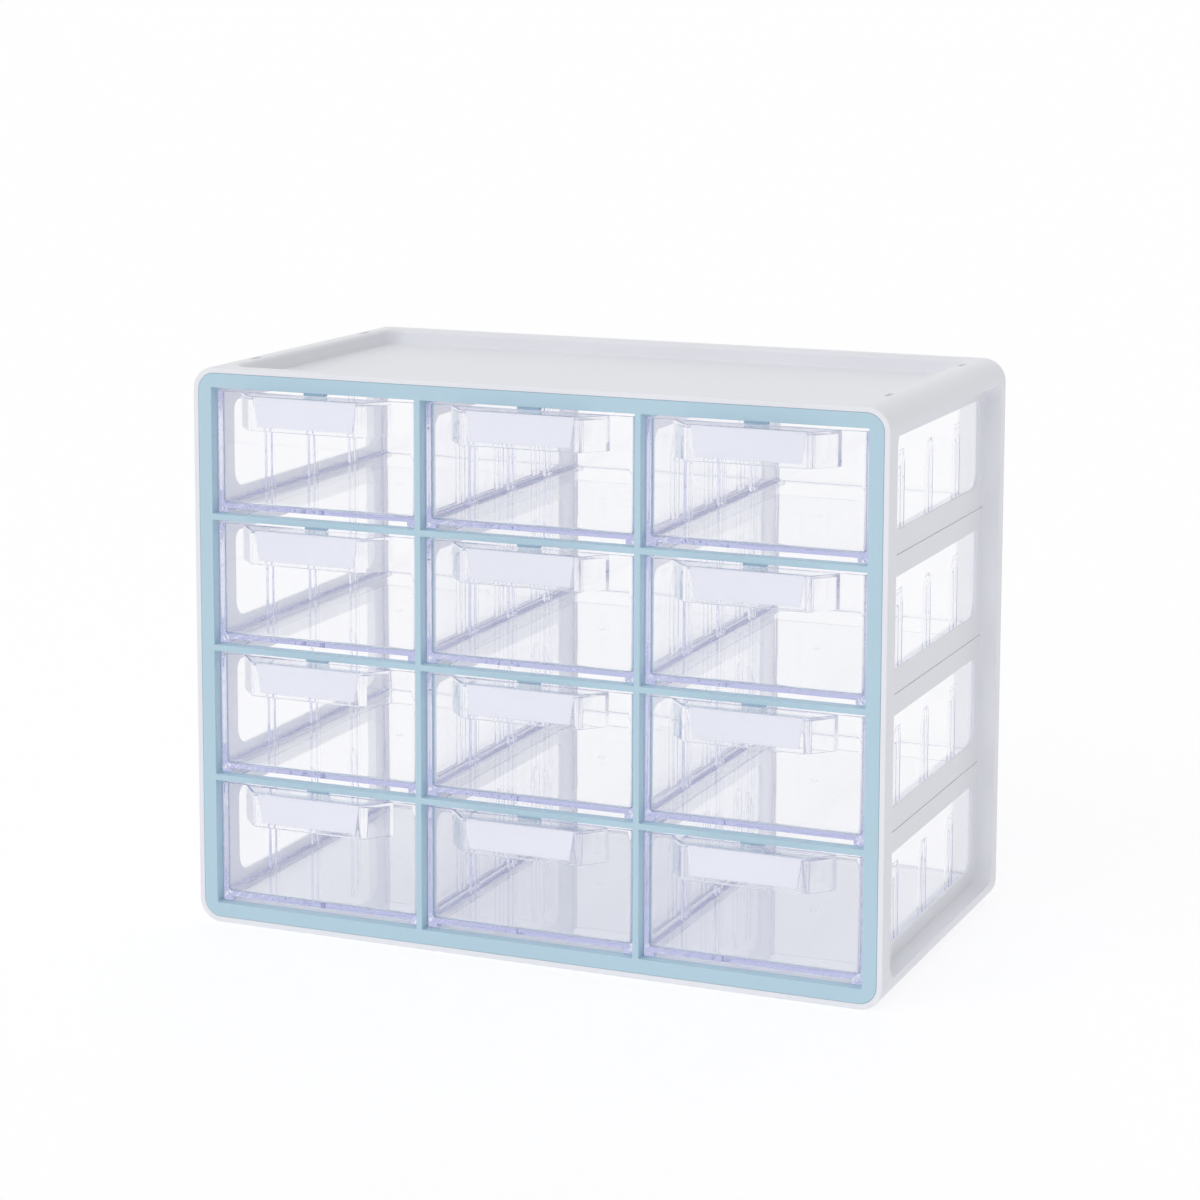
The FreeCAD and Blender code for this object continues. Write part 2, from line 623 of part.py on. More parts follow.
def add_ribs(body):
    """Add three pairs of upright ribs to each side wall, their tops sloping to the wall."""
    wall = f"({DRAWER_WIDTH} / 2 - Sizes.drawer_wall)"
    tip = f"({wall} - Sizes.rib_proud)"
    rib_top = f"({DRAWER_HEIGHT} - Sizes.rib_drop)"
    pair_front = "(Sizes.rib_middle - Sizes.rib_pitch - Sizes.rib_width - Sizes.rib_slot / 2)"
    section = make_sketch(body, "XZ_Plane", "0", "0", f"-{pair_front}")
    draw_outline(
        section,
        (
            (wall, DRAWER_FLOOR_TOP),
            (wall, rib_top),
            (tip, f"({rib_top} - Sizes.rib_slope)"),
            (tip, DRAWER_FLOOR_TOP),
        ),
    )
    rib = extrude(body, "Pad", section, "Sizes.rib_width", backward=True)
    pair = row_of(body, "Y_Axis", "(Sizes.rib_width + Sizes.rib_slot)", 2)
    pairs = row_of(body, "Y_Axis", "Sizes.rib_pitch", 3)
    repeat(body, rib, [pair, pairs, mirror_of(body, "YZ_Plane")])


def add_nib(body):
    """Stand a nib on the back wall, which meets the front frame's tab."""
    rise = "(Sizes.drawer_top_gap - Sizes.nib_gap)"
    nib = make_sketch(
        body, "XZ_Plane", "0", f"{DRAWER_HEIGHT} + {rise} / 2", f"-({DRAWER_LENGTH} - Sizes.drawer_wall)"
    )
    draw_rectangle(nib, "Sizes.nib_width", rise)
    extrude(body, "Pad", nib, "Sizes.drawer_wall", backward=True)


def add_handle(body):
    """Build the hooded handle, open below for the fingers, with a label slot in its plate."""
    hood = make_sketch(body, "XY_Plane", "0", "0", DRAWER_HEIGHT)
    base = "Sizes.handle_base / 2"
    nose = "Sizes.handle_nose / 2"
    draw_outline(
        hood,
        ((f"-{nose}", f"-{HANDLE_DEPTH}"), (nose, f"-{HANDLE_DEPTH}"), (base, "0"), (f"-{base}", "0")),
    )
    block = extrude(body, "Pad", hood, "Sizes.handle_height", backward=True)
    reach = number(HANDLE_DEPTH)
    height = number("Sizes.handle_height")
    ease_edges(
        body,
        "Fillet",
        block,
        "Sizes.handle_radius",
        lambda edge: lies_at(edge, "Y", -reach) and abs(edge.BoundBox.ZLength - height) < TOLERANCE,
    )

    depth = f"({HANDLE_DEPTH} - {PLATE_THICKNESS})"
    slant = f"((Sizes.handle_base - Sizes.handle_nose) / 2 / {HANDLE_DEPTH})"
    inner_base = "(Sizes.handle_base / 2 - Sizes.handle_side)"
    inner_nose = f"({inner_base} - {slant} * {depth})"
    hollow = make_sketch(
        body, "XY_Plane", "0", "0", f"{DRAWER_HEIGHT} - Sizes.handle_height"
    )
    draw_outline(
        hollow,
        (
            (f"-{inner_nose}", f"-{depth}"),
            (inner_nose, f"-{depth}"),
            (inner_base, "0"),
            (f"-{inner_base}", "0"),
        ),
    )
    extrude(body, "Pocket", hollow, "(Sizes.handle_height - Sizes.handle_top)", backward=True)

    slot = make_sketch(
        body, "XZ_Plane", "0", DRAWER_HEIGHT, f"{HANDLE_DEPTH} - Sizes.plate_skin"
    )
    draw_outline(
        slot,
        (
            ("-Sizes.slot_bottom / 2", "-Sizes.slot_height"),
            ("Sizes.slot_bottom / 2", "-Sizes.slot_height"),
            ("Sizes.slot_top / 2", "0"),
            ("-Sizes.slot_top / 2", "0"),
        ),
    )
    extrude(body, "Pocket", slot, "Sizes.slot_gap")


def make_card(doc, label, column, row):
    """Cut the label card that slips into a handle's slot from above."""
    body = make_body(doc, label, *drawer_place(column, row))
    front = f"({HANDLE_DEPTH} - Sizes.plate_skin - (Sizes.slot_gap - Sizes.card_thickness) / 2)"
    card = make_sketch(body, "XZ_Plane", "0", DRAWER_HEIGHT, front)
    low = "(Sizes.slot_bottom / 2 - Sizes.card_fit)"
    high = "(Sizes.slot_top / 2 - Sizes.card_fit)"
    bottom = "-(Sizes.slot_height - Sizes.card_gap)"
    draw_outline(
        card,
        ((f"-{low}", bottom), (low, bottom), (high, "-Sizes.card_gap"), (f"-{high}", "-Sizes.card_gap")),
    )
    extrude(body, "Pad", card, "Sizes.card_thickness", backward=True)
    return body


def check(doc, bodies):
    """Stop if any object failed or any sub-part is not one valid solid."""
    for item in doc.Objects:
        if "Invalid" in item.State or "Error" in item.State:
            raise RuntimeError(f"{item.Label} failed: {item.State}")
    for body in bodies:
        shape = body.Shape
        if shape.isNull() or not shape.isValid() or len(shape.Solids) != 1:
            raise RuntimeError(f"{body.Label} is not one valid solid")


def main():
    """Build every sub-part and write each to its own file."""
    bodies = [make_shell(document), make_bezel(document)]
    for gap in range(COLUMNS - 1):
        bodies.append(make_divider(document, f"divider_{gap + 1}", gap))
    for row in range(ROWS):
        for column in range(COLUMNS):
            bodies.append(make_drawer(document, f"drawer_{row + 1}_{column + 1}", column, row))
            bodies.append(make_card(document, f"label_{row + 1}_{column + 1}", column, row))
    document.recompute()
    check(document, bodies)
    os.makedirs("parts", exist_ok=True)
    for body in bodies:
        body.Shape.exportStep(f"parts/{body.Label}.step")


document = FreeCAD.newDocument("cabinet")
sizes = make_sheet(document)
document.recompute()
main()
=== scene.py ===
"""Craft stamp storage drawers, dressed and lit as a studio scene.

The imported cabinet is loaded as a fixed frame. Each class below stands for one moulding or
for one part of the studio and holds its own sizes. Mouldings are sized in millimetres and
written in metres; the studio is sized in metres.
"""
import logging
import math
from dataclasses import dataclass
from enum import Enum
from typing import Callable

import bmesh
import bpy
from mathutils import Matrix, Vector


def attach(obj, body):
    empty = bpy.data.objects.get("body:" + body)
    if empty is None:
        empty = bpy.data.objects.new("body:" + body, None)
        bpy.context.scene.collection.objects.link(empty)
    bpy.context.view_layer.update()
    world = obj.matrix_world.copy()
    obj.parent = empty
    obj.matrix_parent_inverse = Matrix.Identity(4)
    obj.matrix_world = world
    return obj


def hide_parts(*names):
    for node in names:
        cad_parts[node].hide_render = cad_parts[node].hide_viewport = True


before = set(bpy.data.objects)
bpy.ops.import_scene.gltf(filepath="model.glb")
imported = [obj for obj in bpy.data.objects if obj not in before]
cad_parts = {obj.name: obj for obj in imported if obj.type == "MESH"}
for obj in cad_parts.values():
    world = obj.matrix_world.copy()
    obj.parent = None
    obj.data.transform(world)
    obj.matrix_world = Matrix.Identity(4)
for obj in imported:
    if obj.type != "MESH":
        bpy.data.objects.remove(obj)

Pair = tuple[float, float]
Triple = tuple[float, float, float]
Colour = tuple[float, float, float]
Outline = list[Pair]

LOG = logging.getLogger("storage_drawers")
MM = 0.001
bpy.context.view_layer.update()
ROWS = 4
COLUMNS = 3

# Edges that turn by more than SHARP are softened, by more than CREASE can be rounded, and by
# less than FLAT are merged away.
SHARP = math.radians(28)
CREASE = 0.3
FLAT = math.radians(0.05)

# In millimetres: how far a cutter runs past the face that it cuts or a boss runs into its wall,
# how near counts as on a plane, and how near two corners are merged.
OVERRUN = 1.0
NEAR = 0.01
MERGE = 0.0001

# Share of a square's half side by which its corners are rounded to make a disc.
DISC = 0.99

# Colour sockets of a Mix node, whose names repeat for each kind of data.
MIX_LOW = 6
MIX_HIGH = 7
MIX_RESULT = 2


class Slot(Enum):
    """Material slots of the record."""

    WHITE = "white_plastic"
    BLUE = "blue_plastic"
    CLEAR = "clear_plastic"
    CARD = "label_card"


# ---------------------------------------------------------------- finishes


class Wiring:
    """Adds and joins the nodes of one shader tree."""

    def __init__(self, tree: bpy.types.NodeTree) -> None:
        """Start from an empty tree.

        Args:
            tree: The tree to fill.
        """
        self.tree = tree
        tree.nodes.clear()

    def add(self, kind: str, **settings: object) -> bpy.types.Node:
        """Add a node, set its attributes and its plain input values.

        Args:
            kind: Blender's name of the node type, without "ShaderNode".
            **settings: Attributes in lower case; inputs by their label with _ for spaces.

        Returns:
            The new node.
        """
        node = self.tree.nodes.new(kind if kind.startswith("Node") else f"ShaderNode{kind}")
        for name, value in settings.items():
            if hasattr(node, name) and name.islower():
                setattr(node, name, value)
            else:
                node.inputs[name.replace("_", " ")].default_value = value
        return node

    def join(self, source: bpy.types.NodeSocket, target: bpy.types.NodeSocket) -> None:
        """Link an output to an input."""
        self.tree.links.new(source, target)


class MouldedSurface:
    """Shader group shared by every moulded finish: a slight mottle, sheen drift and grain."""

    NAME = "moulded_surface"
    INPUTS = (
        ("Colour", "NodeSocketColor", (0.8, 0.8, 0.8, 1.0)),
        ("Roughness", "NodeSocketFloat", 0.4),
        ("Mottle", "NodeSocketFloat", 0.02),
        ("Drift", "NodeSocketFloat", 0.05),
        ("Grain Size", "NodeSocketFloat", 1500.0),
    )
    OUTPUTS = (
        ("Colour", "NodeSocketColor"),
        ("Roughness", "NodeSocketFloat"),
        ("Height", "NodeSocketFloat"),
    )

    @classmethod
    def group(cls) -> bpy.types.NodeTree:
        """Build the group once and hand it out.

        Returns:
            The shader node group.
        """
        if cls.NAME in bpy.data.node_groups:
            return bpy.data.node_groups[cls.NAME]
        tree = bpy.data.node_groups.new(cls.NAME, "ShaderNodeTree")
        wiring = Wiring(tree)
        for label, kind, value in cls.INPUTS:
            tree.interface.new_socket(label, in_out="INPUT", socket_type=kind).default_value = value
        for label, kind in cls.OUTPUTS:
            tree.interface.new_socket(label, in_out="OUTPUT", socket_type=kind)
        given = wiring.add("NodeGroupInput")
        result = wiring.add("NodeGroupOutput")
        place = wiring.add("TexCoord")
        cloud = wiring.add("TexNoise", Scale=14.0, Detail=3.0)
        grain = wiring.add("TexNoise", Detail=2.0)
        swing = wiring.add("MapRange", From_Min=0.3, From_Max=0.7, To_Min=-1.0, To_Max=1.0)
        shade = wiring.add("Math", operation="MULTIPLY_ADD")
        shade.inputs[2].default_value = 1.0
        tint = wiring.add("VectorMath", operation="SCALE")
        gloss = wiring.add("Math", operation="MULTIPLY_ADD")
        wiring.join(place.outputs["Object"], cloud.inputs["Vector"])
        wiring.join(place.outputs["Object"], grain.inputs["Vector"])
        wiring.join(given.outputs["Grain Size"], grain.inputs["Scale"])
        wiring.join(cloud.outputs["Fac"], swing.inputs["Value"])
        wiring.join(swing.outputs["Result"], shade.inputs[0])
        wiring.join(given.outputs["Mottle"], shade.inputs[1])
        wiring.join(given.outputs["Colour"], tint.inputs[0])
        wiring.join(shade.outputs[0], tint.inputs["Scale"])
        wiring.join(swing.outputs["Result"], gloss.inputs[0])
        wiring.join(given.outputs["Drift"], gloss.inputs[1])
        wiring.join(given.outputs["Roughness"], gloss.inputs[2])
        wiring.join(tint.outputs[0], result.inputs["Colour"])
        wiring.join(gloss.outputs[0], result.inputs["Roughness"])
        wiring.join(grain.outputs["Fac"], result.inputs["Height"])
        return tree


@dataclass(frozen=True)
class OpaqueMoulding:
    """Satin moulded plastic, lightly spark-eroded in the tool.

    Attributes:
        name: Material name.
        colour: Linear colour.
        roughness: Mean roughness.
        gloss: Strength of the surface's reflections, 0.5 being that of plain plastic.
        mottle: Share by which the colour wanders.
        drift: Amount by which the roughness wanders.
        grain_depth: Height of the grain, in metres.
        refraction: Index of refraction.
    """

    name: str
    colour: Colour
    roughness: float = 0.42
    gloss: float = 0.35
    mottle: float = 0.012
    drift: float = 0.04
    grain_depth: float = 0.00002
    refraction: float = 1.49

    def build(self) -> bpy.types.Material:
        """Make the material.

        Returns:
            The finished material.
        """
        material = bpy.data.materials.new(self.name)
        material.use_nodes = True
        wiring = Wiring(material.node_tree)
        surface = wiring.add("Group", node_tree=MouldedSurface.group())
        surface.inputs["Colour"].default_value = (*self.colour, 1.0)
        surface.inputs["Roughness"].default_value = self.roughness
        surface.inputs["Mottle"].default_value = self.mottle
        surface.inputs["Drift"].default_value = self.drift
        bump = wiring.add("Bump", Strength=0.35, Distance=self.grain_depth)
        shader = wiring.add("BsdfPrincipled")
        shader.inputs["IOR"].default_value = self.refraction
        shader.inputs["Specular IOR Level"].default_value = self.gloss
        output = wiring.add("OutputMaterial")
        wiring.join(surface.outputs["Colour"], shader.inputs["Base Color"])
        wiring.join(surface.outputs["Roughness"], shader.inputs["Roughness"])
        wiring.join(surface.outputs["Height"], bump.inputs["Height"])
        wiring.join(bump.outputs["Normal"], shader.inputs["Normal"])
        wiring.join(shader.outputs[0], output.inputs["Surface"])
        return material


@dataclass(frozen=True)
class ClearMoulding:
    """Clear moulded polystyrene, which looks violet along its long inner paths.

    Attributes:
        name: Material name.
        tint: Colour that the surface lets through.
        depth_tint: Colour that the body of the plastic tends to.
        depth_density: How fast it tends to that colour, per metre.
        lamp_tint: Colour that one surface lets through from the lamps.
        roughness: Polish of the surface.
        mottle: Share by which the tint wanders.
        drift: Amount by which the roughness wanders.
        wave_scale: Scale of the surface's slight waves.
        wave_depth: Height of these waves, in metres.
        refraction: Index of refraction.
    """

    name: str
    tint: Colour
    depth_tint: Colour
    depth_density: float
    lamp_tint: Colour = (0.985, 0.985, 0.99)
    roughness: float = 0.015
    mottle: float = 0.004
    drift: float = 0.008
    wave_scale: float = 60.0
    wave_depth: float = 0.0002
    refraction: float = 1.55

    def build(self) -> bpy.types.Material:
        """Make the material.

        Returns:
            The finished material.
        """
        material = bpy.data.materials.new(self.name)
        material.use_nodes = True
        wiring = Wiring(material.node_tree)
        surface = wiring.add("Group", node_tree=MouldedSurface.group())
        surface.inputs["Colour"].default_value = (*self.tint, 1.0)
        surface.inputs["Roughness"].default_value = self.roughness
        surface.inputs["Mottle"].default_value = self.mottle
        surface.inputs["Drift"].default_value = self.drift
        surface.inputs["Grain Size"].default_value = self.wave_scale
        bump = wiring.add("Bump", Strength=0.05, Distance=self.wave_depth)
        shader = wiring.add("BsdfPrincipled")
        shader.inputs["IOR"].default_value = self.refraction
        shader.inputs["Transmission Weight"].default_value = 1.0
        body = wiring.add("VolumeAbsorption")
        body.inputs["Color"].default_value = (*self.depth_tint, 1.0)
        body.inputs["Density"].default_value = self.depth_density
        path = wiring.add("LightPath")
        lamps = wiring.add("BsdfTransparent")
        lamps.inputs["Color"].default_value = (*self.lamp_tint, 1.0)
        choice = wiring.add("MixShader")
        output = wiring.add("OutputMaterial")
        wiring.join(surface.outputs["Colour"], shader.inputs["Base Color"])
        wiring.join(surface.outputs["Roughness"], shader.inputs["Roughness"])
        wiring.join(surface.outputs["Height"], bump.inputs["Height"])
        wiring.join(bump.outputs["Normal"], shader.inputs["Normal"])
        wiring.join(path.outputs["Is Shadow Ray"], choice.inputs["Fac"])
        wiring.join(shader.outputs[0], choice.inputs[1])
        wiring.join(lamps.outputs[0], choice.inputs[2])
        wiring.join(choice.outputs[0], output.inputs["Surface"])
        wiring.join(body.outputs[0], output.inputs["Volume"])
        return material


# ---------------------------------------------------------------- mesh tools


class Axis(Enum):
    """Axis that an outline is extruded along."""

    X = 0
    Y = 1
    Z = 2


def rectangle(u0: float, u1: float, v0: float, v1: float) -> Outline:
    """Give the corners of a rectangle, lower left first and then anticlockwise."""
    return [(u0, v0), (u1, v0), (u1, v1), (u0, v1)]


class Solid:
    """A moulding in the making, in millimetres of the cabinet's frame."""

    def __init__(self) -> None:
        """Start an empty bmesh."""
        self.work = bmesh.new()

    @classmethod
    def prism(
        cls,
        outline: Outline,
        axis: Axis,
        low: float,
        high: float,
        radii: tuple[float, ...] = (0.0,),
        segments: int = 10,
    ) -> "Solid":
        """Extrude an outline along an axis.

        Args:
            outline: Corners in the plane across the axis, its two coordinates in order.
            axis: Axis of the extrusion.
            low: Where it starts.
            high: Where it ends.
            radii: Radius of each corner, or one for all of them.
            segments: Steps in each rounded corner.

        Returns:
            The closed solid.
        """
        solid = cls()
        work = solid.work
        ring = []
        for u, v in outline:
            place = [u, v]
            place.insert(axis.value, low)
            ring.append(work.verts.new(place))
        work.faces.new(ring)
        each = radii * len(ring) if len(radii) == 1 else radii
        for corner, radius in zip(ring, each):
            if radius:
                bmesh.ops.bevel(
                    work,
                    geom=[corner],
                    offset=radius,
                    offset_type="OFFSET",
                    segments=segments,
                    profile=0.5,
                    affect="VERTICES",
                    material=-1,
                )
        grown = bmesh.ops.extrude_face_region(work, geom=list(work.faces))
        step = [0.0, 0.0, 0.0]
        step[axis.value] = high - low
        moved = [item for item in grown["geom"] if isinstance(item, bmesh.types.BMVert)]
        bmesh.ops.translate(work, verts=moved, vec=step)
        bmesh.ops.recalc_face_normals(work, faces=work.faces)
        return solid

    @classmethod
    def box(cls, x: Pair, y: Pair, z: Pair) -> "Solid":
        """Make a block from its lower and upper limits on each axis."""
        return cls.prism(rectangle(*x, *y), Axis.Z, *z)

    def copies(self, shifts: list[Triple]) -> "Solid":
        """Repeat the solid at a list of shifts, as one set of separate lumps.

        Args:
            shifts: Where each copy goes, from the solid's own place.

        Returns:
            The set.
        """
        result = Solid()
        for shift in shifts:
            result.add_lump(self, shift)
        return result

    def add_lump(self, lump: "Solid", shift: Triple) -> None:
        """Add a closed lump at a shift, without fusing it.

        Args:
            lump: The lump to add.
            shift: Where it goes, from its own place.
        """
        mesh = lump.mesh("lump")
        mesh.transform(Matrix.Translation(shift))
        self.work.from_mesh(mesh)
        bpy.data.meshes.remove(mesh)

    def mirrored(self) -> "Solid":
        """Give the solid together with its mirror image on the other side of the cabinet.

        Returns:
            The pair, as separate lumps.
        """
        mesh = self.mesh("mirror")
        result = Solid()
        result.work.from_mesh(mesh)
        mesh.transform(Matrix.Scale(-1.0, 4, (1.0, 0.0, 0.0)))
        result.work.from_mesh(mesh)
        bmesh.ops.recalc_face_normals(result.work, faces=result.work.faces)
        bpy.data.meshes.remove(mesh)
        return result

    def cut(self, tool: "Solid") -> "Solid":
        """Take another solid away from this one."""
        return self.combined(tool, "DIFFERENCE")

    def join(self, tool: "Solid") -> "Solid":
        """Fuse another solid with this one."""
        return self.combined(tool, "UNION")

    def combined(self, tool: "Solid", operation: str) -> "Solid":
        """Run one Boolean operation.

        Args:
            tool: The other solid.
            operation: Blender's name of the operation.

        Returns:
            This solid, changed.
        """
        pair = [bpy.data.objects.new("workpiece", solid.mesh("workpiece")) for solid in (self, tool)]
        for item in pair:
            bpy.context.scene.collection.objects.link(item)
        modifier = pair[0].modifiers.new("combine", "BOOLEAN")
        modifier.operation = operation
        modifier.solver = "EXACT"
        modifier.object = pair[1]
        graph = bpy.context.evaluated_depsgraph_get()
        mesh = bpy.data.meshes.new_from_object(pair[0].evaluated_get(graph))
        self.work.clear()
        self.work.from_mesh(mesh)
        bmesh.ops.remove_doubles(self.work, verts=self.work.verts, dist=MERGE)
        for item in pair:
            spare = item.data
            bpy.data.objects.remove(item)
            bpy.data.meshes.remove(spare)
        bpy.data.meshes.remove(mesh)
        return self

    def round_edges(
        self, chosen: Callable[[bmesh.types.BMEdge], bool], radius: float, segments: int
    ) -> "Solid":
        """Round the edges that a test picks.

        Args:
            chosen: The test.
            radius: Radius of the rounding.
            segments: Steps across it.

        Returns:
            This solid, changed.
        """
        edges = [edge for edge in self.work.edges if edge.calc_face_angle(0.0) > CREASE and chosen(edge)]
        bmesh.ops.bevel(
            self.work,
            geom=edges,
            offset=radius,
            offset_type="OFFSET",
            segments=segments,
            profile=0.5,
            affect="EDGES",
            clamp_overlap=False,
            material=-1,
        )
        return self

    def mesh(self, name: str) -> bpy.types.Mesh:
        """Write the solid to a new mesh.

        Args:
            name: Name of the mesh.

        Returns:
            The mesh, in millimetres.
        """
        mesh = bpy.data.meshes.new(name)
        self.work.to_mesh(mesh)
        return mesh

    def merge_flat(self) -> "Solid":
        """Merge the faces that lie in one plane, so that no flat edge is left between them."""
        bmesh.ops.dissolve_limit(
            self.work,
            angle_limit=FLAT,
            use_dissolve_boundaries=False,
            verts=self.work.verts,
            edges=self.work.edges,
        )
        return self

    def soften(self, width: float, segments: int, inner: bool = True) -> "Solid":
        """Soften every sharp edge.

        Args:
            width: Width of the softening.
            segments: Steps across it.
            inner: Whether inner corners are softened too.

        Returns:
            This solid, changed.
        """
        return self.round_edges(
            lambda edge: edge.calc_face_angle(0.0) > SHARP and (inner or edge.is_convex),
            width,
            segments,
        )

    def piece(self, name: str) -> bpy.types.Object:
        """Turn the solid into a finished piece, its broad faces shaded flat.

        Args:
            name: Name of the piece.

        Returns:
            The piece, at the origin, in metres.
        """
        for face in self.work.faces:
            face.smooth = True
        for edge in self.work.edges:
            edge.smooth = edge.calc_face_angle(0.0) < SHARP
        rough = bpy.data.objects.new(name, self.mesh(name))
        bpy.context.scene.collection.objects.link(rough)
        weighted = rough.modifiers.new("flat_faces", "WEIGHTED_NORMAL")
        weighted.mode = "FACE_AREA"
        weighted.weight = 50
        weighted.keep_sharp = True
        graph = bpy.context.evaluated_depsgraph_get()
        mesh = bpy.data.meshes.new_from_object(rough.evaluated_get(graph))
        mesh.transform(Matrix.Scale(MM, 4))
        spare = rough.data
        rough.modifiers.clear()
        rough.data = mesh
        bpy.data.meshes.remove(spare)
        mesh.name = name
        return rough


def on_plane(edge: bmesh.types.BMEdge, axis: Axis, value: float) -> bool:
    """Tell whether an edge lies in a plane across an axis."""
    return all(abs(vert.co[axis.value] - value) < NEAR for vert in edge.verts)


def within(edge: bmesh.types.BMEdge, axis: Axis, low: float, high: float) -> bool:
    """Tell whether an edge lies between two values on an axis."""
    return all(low - NEAR < vert.co[axis.value] < high + NEAR for vert in edge.verts)


def placed_copy(
    piece: bpy.types.Object, name: str, shift: Triple
) -> bpy.types.Object:
    """Copy a piece with its place moved inside its mesh.

    Args:
        piece: The piece to copy.
        name: Name of the copy.
        shift: The move, in millimetres.

    Returns:
        The copy, at the origin.
    """
    mesh = piece.data.copy()
    mesh.name = name
    mesh.transform(Matrix.Translation(Vector(shift) * MM))
    copy = bpy.data.objects.new(name, mesh)
    bpy.context.scene.collection.objects.link(copy)
    return copy


def stand_for(
    piece: bpy.types.Object, node: str, body: str, material: bpy.types.Material
) -> None:
    """Give a piece its finish and let it stand for a CAD node.

    Args:
        piece: The finished piece.
        node: The node that it replaces.
        body: The body that it rides on.
        material: Its finish.
    """
    piece.data.materials.clear()
    piece.data.materials.append(material)
    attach(piece, body)
    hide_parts(node)
    LOG.info("%s rides on %s", piece.name, body)


# ---------------------------------------------------------------- the cabinet's grid


@dataclass(frozen=True)
class Grid:
    """The grid of drawer openings, in millimetres of the cabinet's frame."""

    opening_width: float = 113.6
    opening_height: float = 64.4
    bar: float = 3.2
    low: float = 10.4
    face: float = -94.0
    bezel_depth: float = 6.4

    @property
    def back(self) -> float:
        """Back of the front frame's grid."""
        return self.face + self.bezel_depth

    @property
    def column_pitch(self) -> float:
        """From one column to the next."""
        return self.opening_width + self.bar

    @property
    def row_pitch(self) -> float:
        """From one row to the next."""
        return self.opening_height + self.bar

    @property
    def half_width(self) -> float:
        """Half the width of the whole grid."""
        return (COLUMNS * self.column_pitch - self.bar) / 2

    @property
    def top(self) -> float:
        """Upper limit of the whole grid."""
        return self.low + ROWS * self.row_pitch - self.bar

    def centre(self, column: int) -> float:
        """Middle of a column, counted from 1 at the left."""
        return (column - (COLUMNS + 1) / 2) * self.column_pitch

    def gap(self, number: int) -> float:
        """Middle of the bar between two columns, counted from 1 at the left."""
        return self.centre(number) + self.column_pitch / 2

    def floor(self, row: int) -> float:
        """Lower limit of a row's openings, counted from 1 at the top."""
        return self.low + (ROWS - row) * self.row_pitch

    def rows_up(self, count: int) -> list[Triple]:
        """Shifts that repeat a shape upwards, once for each of a number of rows."""
        return [(0.0, 0.0, step * self.row_pitch) for step in range(count)]

    def cells(self) -> list[tuple[int, int]]:
        """Every row and column, from the top left."""
        return [(row, column) for row in range(1, ROWS + 1) for column in range(1, COLUMNS + 1)]


# ---------------------------------------------------------------- mouldings


